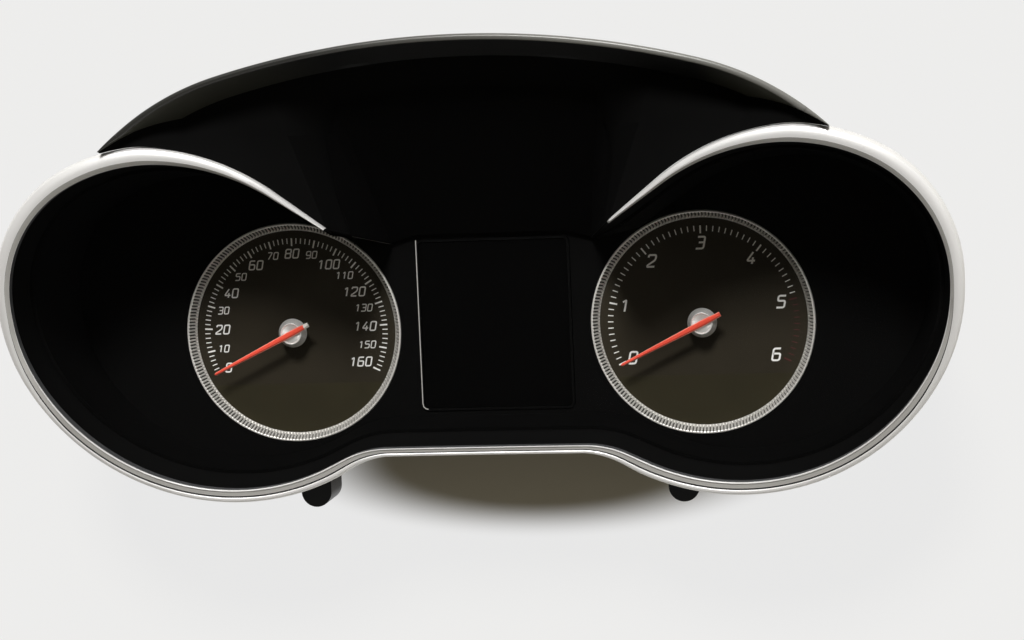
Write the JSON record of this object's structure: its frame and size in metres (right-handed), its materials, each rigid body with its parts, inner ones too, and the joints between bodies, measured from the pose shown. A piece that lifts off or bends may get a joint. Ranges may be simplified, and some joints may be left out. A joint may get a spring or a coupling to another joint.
{
  "type": "instrument cluster",
  "caption": "Hooded car instrument cluster: a speedometer and a tachometer with geared stepper motors, a display between them, a clear lens, silver trim and a rear connector.",
  "frame": {"origin": "centre of the bounding box at its bottom, on the back of the rear cover", "axes": "+X along the long side with the tachometer, +Y towards the hood, +Z out of the dials"},
  "size_m": [0.3902, 0.197, 0.1154],
  "materials": {
    "black_shell": "fine-grained satin black",
    "satin_trim": "satin silver paint on plastic, bright edges",
    "clear_lens": "clear polycarbonate sheet",
    "display_bezel": "satin silver",
    "display_glass": "smoked, switched off",
    "display_cell": "grey liquid crystal cell",
    "white_plastic": "matt white",
    "flex_film": "amber film",
    "satin_ring": "satin silver, finely knurled inside",
    "dial_film": "black printed film with white marks",
    "clear_guide": "clear acrylic",
    "coral_pointer": "translucent coral red",
    "silver_cap": "satin silver with a brighter edge",
    "black_hub": "matt black",
    "ivory_plastic": "moulded ivory",
    "copper_winding": "enamelled copper wire",
    "stator_iron": "bare sheet iron",
    "dark_magnet": "dark grey bonded magnet",
    "green_board": "green solder mask",
    "black_package": "black moulding",
    "capacitor_can": "bare aluminium",
    "gold_pin": "gold plating",
    "zinc_screw": "zinc plated"
  },
  "bodies": {
    "cluster": {"hood": "black_shell", "hood_end_left": "black_shell", "hood_end_right": "black_shell", "front_mask": "black_shell", "housing": "black_shell", "rear_cover": "black_shell", "trim_ring": "satin_trim", "front_lens": "clear_lens", "display_frame": "display_bezel", "display_glass": "display_glass", "display_panel": "display_cell", "display_backlight": "white_plastic", "speed_light_box": "white_plastic", "tach_light_box": "white_plastic", "dial_leds": "white_plastic", "display_flex": "flex_film", "speed_ring": "satin_ring", "tach_ring": "satin_ring", "speed_dial": "dial_film", "tach_dial": "dial_film", "speed_light_guide": "clear_guide", "tach_light_guide": "clear_guide", "speed_motor_case": "ivory_plastic", "speed_motor_lid": "ivory_plastic", "tach_motor_case": "ivory_plastic", "tach_motor_lid": "ivory_plastic", "speed_motor_coils": "copper_winding", "tach_motor_coils": "copper_winding", "speed_motor_stator": "stator_iron", "tach_motor_stator": "stator_iron", "main_board": "green_board", "microcontroller": "black_package", "memory_chip": "black_package", "regulator": "black_package", "buzzer": "black_package", "connector_shell": "black_package", "capacitors": "capacitor_can", "connector_pins": "gold_pin", "cover_screws": "zinc_screw", "board_screws": "zinc_screw", "frame_screws": "zinc_screw", "hood_screws": "zinc_screw"},
    "speed_needle": {"speed_pointer": "coral_pointer", "speed_pointer_cap": "silver_cap", "speed_pointer_hub": "black_hub", "speed_output_gear": "ivory_plastic"},
    "speed_idler": {"speed_idler_gear": "ivory_plastic"},
    "speed_rotor_magnet": {"speed_rotor": "dark_magnet"},
    "tach_needle": {"tach_pointer": "coral_pointer", "tach_pointer_cap": "silver_cap", "tach_pointer_hub": "black_hub", "tach_output_gear": "ivory_plastic"},
    "tach_idler": {"tach_idler_gear": "ivory_plastic"},
    "tach_rotor_magnet": {"tach_rotor": "dark_magnet"}
  },
  "joints": [
    {"name": "speed_needle_turn", "type": "hinge", "parent": "cluster", "child": "speed_needle", "pos_m": [-0.0876, -0.0247, 0.032], "axis": [0, 0, -1], "range_deg": [0, 232]},
    {"name": "speed_idler_turn", "type": "hinge", "parent": "cluster", "child": "speed_idler", "pos_m": [-0.0876, -0.0352, 0.01], "axis": [0, 0, -1], "range_deg": [-1392, 0]},
    {"name": "speed_rotor_turn", "type": "hinge", "parent": "cluster", "child": "speed_rotor_magnet", "pos_m": [-0.0876, -0.0427, 0.01], "axis": [0, 0, -1], "range_deg": [0, 6960]},
    {"name": "tach_needle_turn", "type": "hinge", "parent": "cluster", "child": "tach_needle", "pos_m": [0.0876, -0.0247, 0.032], "axis": [0, 0, -1], "range_deg": [0, 232]},
    {"name": "tach_idler_turn", "type": "hinge", "parent": "cluster", "child": "tach_idler", "pos_m": [0.0876, -0.0352, 0.01], "axis": [0, 0, -1], "range_deg": [-1392, 0]},
    {"name": "tach_rotor_turn", "type": "hinge", "parent": "cluster", "child": "tach_rotor_magnet", "pos_m": [0.0876, -0.0427, 0.01], "axis": [0, 0, -1], "range_deg": [0, 6960]}
  ],
  "couplings": [
    {"joint": "speed_idler_turn", "follows": "speed_needle_turn", "ratio": -6},
    {"joint": "speed_rotor_turn", "follows": "speed_needle_turn", "ratio": 30},
    {"joint": "tach_idler_turn", "follows": "tach_needle_turn", "ratio": -6},
    {"joint": "tach_rotor_turn", "follows": "tach_needle_turn", "ratio": 30}
  ]
}
